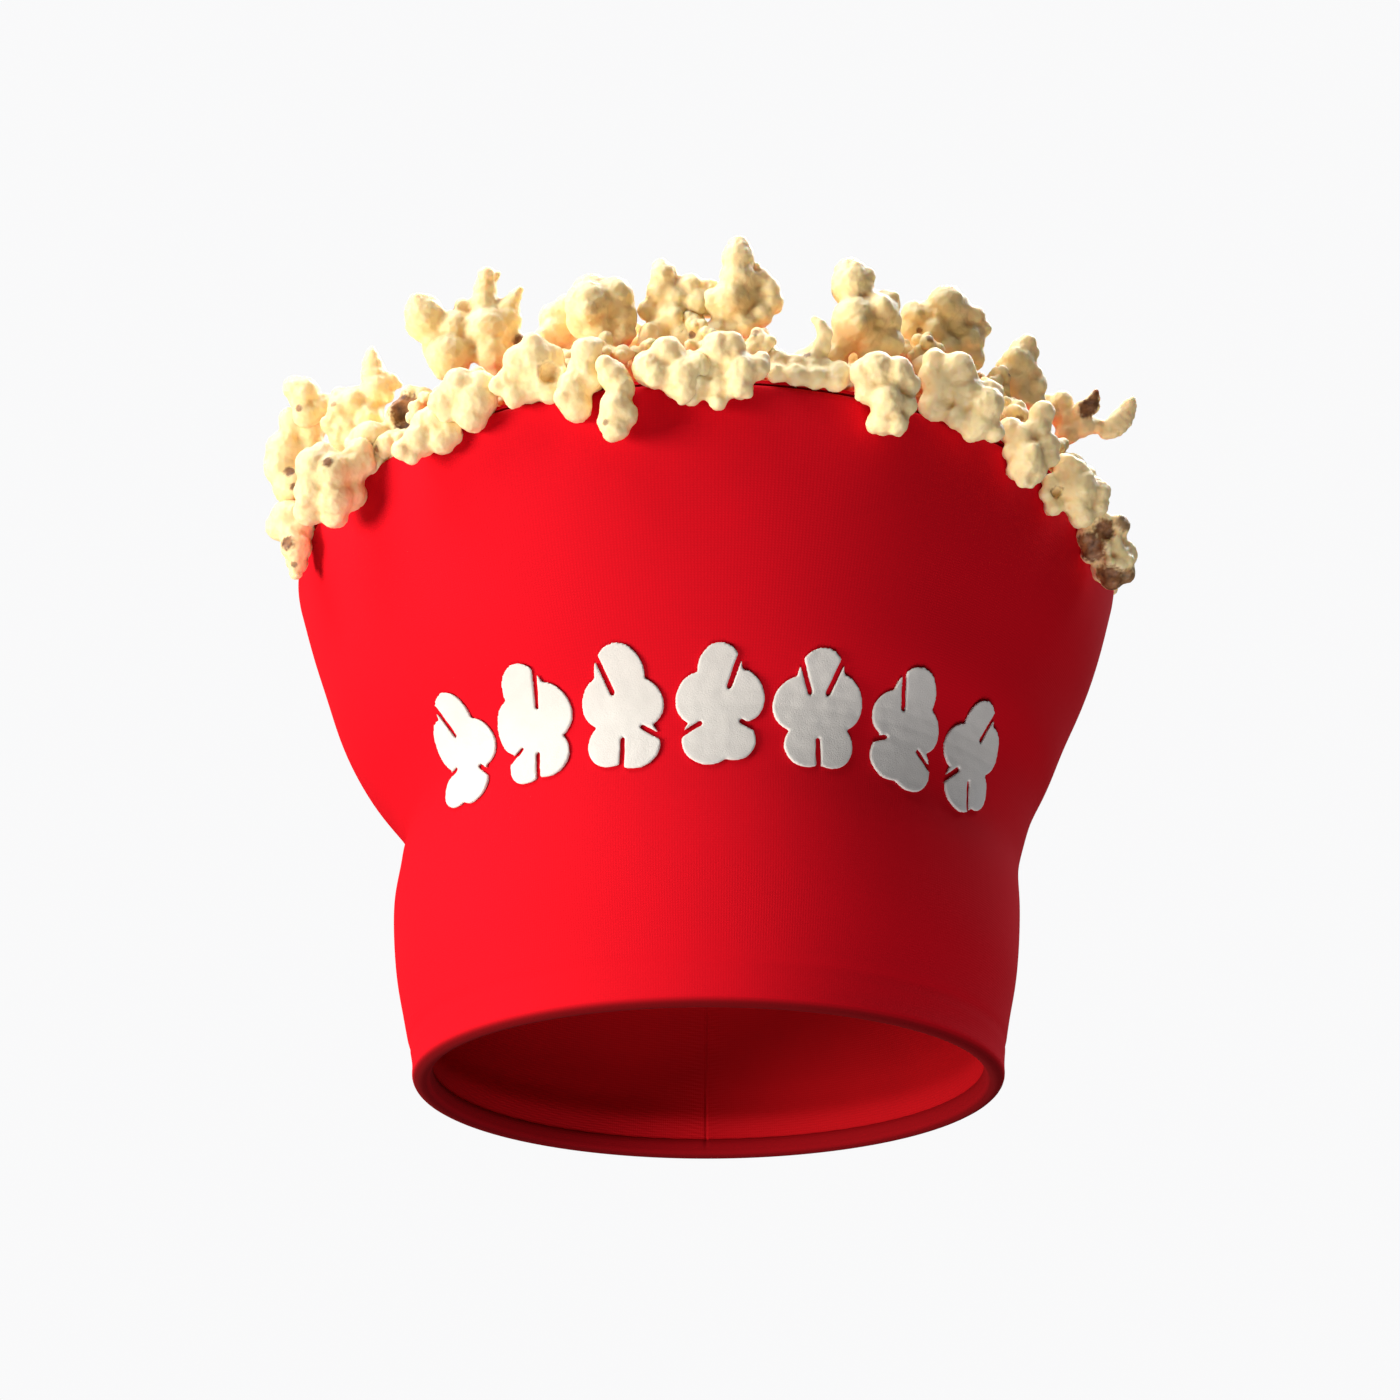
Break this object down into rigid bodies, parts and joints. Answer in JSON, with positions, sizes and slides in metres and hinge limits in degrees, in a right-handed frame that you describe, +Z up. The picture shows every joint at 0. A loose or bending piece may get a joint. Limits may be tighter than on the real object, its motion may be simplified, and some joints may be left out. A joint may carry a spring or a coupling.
{
  "type": "popcorn bucket hat",
  "caption": "Soft padded fabric bucket worn as a novelty hat, open for the head below, drawn in at the waist, flared to a wide rim heaped with glued popcorn, with raised white felt patches.",
  "frame": {"origin": "centre of the head opening, on the plane that the hem rests on", "axes": "+Z up towards the popcorn, -Y the front with the patches, +X to the right when seen from the front"},
  "size_m": [0.3014, 0.3287, 0.2445],
  "materials": {
    "red_cloth": "matte",
    "red_lining": "matte",
    "foam": "matte",
    "elastic": "matte",
    "hoop": "satin",
    "board": "matte",
    "felt": "matte",
    "popcorn": "matte"
  },
  "bodies": {
    "root": {"outer_shell": "red_cloth", "band_foam": "foam", "flare_foam": "foam", "lining": "red_lining", "hem_binding": "red_cloth", "waist_elastic": "elastic", "rim_hoop": "hoop", "crown_lining": "red_lining", "crown_board": "board", "crown_pad": "foam", "crown_panel": "red_cloth", "patch_1": "felt", "patch_2": "felt", "patch_3": "felt", "patch_4": "felt", "patch_5": "felt", "patch_6": "felt", "patch_7": "felt", "popcorn_01": "popcorn", "popcorn_02": "popcorn", "popcorn_03": "popcorn", "popcorn_04": "popcorn", "popcorn_05": "popcorn", "popcorn_06": "popcorn", "popcorn_07": "popcorn", "popcorn_08": "popcorn", "popcorn_09": "popcorn", "popcorn_10": "popcorn", "popcorn_11": "popcorn", "popcorn_12": "popcorn", "popcorn_13": "popcorn", "popcorn_14": "popcorn", "popcorn_15": "popcorn", "popcorn_16": "popcorn", "popcorn_17": "popcorn", "popcorn_18": "popcorn", "popcorn_19": "popcorn", "popcorn_20": "popcorn", "popcorn_21": "popcorn", "popcorn_22": "popcorn", "popcorn_23": "popcorn", "popcorn_24": "popcorn", "popcorn_25": "popcorn", "popcorn_26": "popcorn", "popcorn_27": "popcorn", "popcorn_28": "popcorn", "popcorn_clump_01": "popcorn", "popcorn_clump_02": "popcorn", "popcorn_clump_03": "popcorn", "popcorn_clump_04": "popcorn", "popcorn_clump_05": "popcorn", "popcorn_clump_06": "popcorn", "popcorn_clump_07": "popcorn", "popcorn_clump_08": "popcorn", "popcorn_clump_09": "popcorn", "popcorn_clump_10": "popcorn", "popcorn_clump_11": "popcorn", "popcorn_clump_12": "popcorn", "heap_outer_ring": "popcorn", "heap_middle": "popcorn"}
  },
  "joints": []
}
